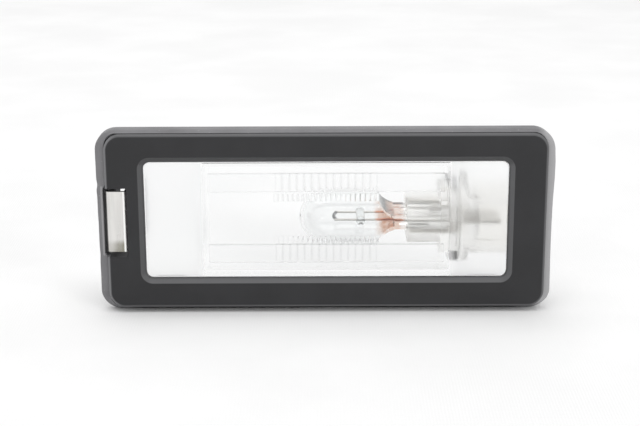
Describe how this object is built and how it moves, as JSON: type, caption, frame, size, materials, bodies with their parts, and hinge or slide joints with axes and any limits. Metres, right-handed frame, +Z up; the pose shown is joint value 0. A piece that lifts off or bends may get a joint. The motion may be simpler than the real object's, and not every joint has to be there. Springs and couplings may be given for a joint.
{
  "type": "number plate lamp",
  "caption": "Clip-in number plate lamp: black bezel with soft panel seal, clear fluted lens and light box, steel spring clip, and a side holder with a wedge base bulb.",
  "frame": {"origin": "centre of the rectangular hole in the panel, on the panel face that the lamp's seal lies on", "axes": "+X along the lamp's length to the right as seen from the lit side, +Y into the panel behind the lamp, +Z up the lamp's face; the lit face looks along -Y"},
  "size_m": [0.0804, 0.0214, 0.0334],
  "materials": {
    "bezel_plastic": "satin black moulding with a fine grain",
    "seal_rubber": "soft grey elastomer",
    "lens_clear": "clear polished moulding with fluted optics",
    "box_clear": "clear moulding",
    "clip_steel": "stainless spring strip",
    "holder_plastic": "natural milky moulding that light shines through",
    "ring_rubber": "soft grey ring",
    "contact_brass": "stamped brass strip, tin plated",
    "bulb_clear": "clear bulb glass",
    "bead_glass": "clear glass bead",
    "filament_metal": "coiled tungsten wire",
    "wire_copper": "copper clad wire"
  },
  "bodies": {
    "root": {"bezel": "bezel_plastic", "panel_seal": "seal_rubber", "lens": "lens_clear", "light_box": "box_clear", "spring_clip": "clip_steel", "bulb_holder": "holder_plastic", "holder_ring": "ring_rubber", "contact_upper": "contact_brass", "contact_lower": "contact_brass", "bulb_glass": "bulb_clear", "bulb_bead": "bead_glass", "bulb_filament": "filament_metal", "bulb_wire_upper": "wire_copper", "bulb_wire_lower": "wire_copper"}
  },
  "joints": []
}
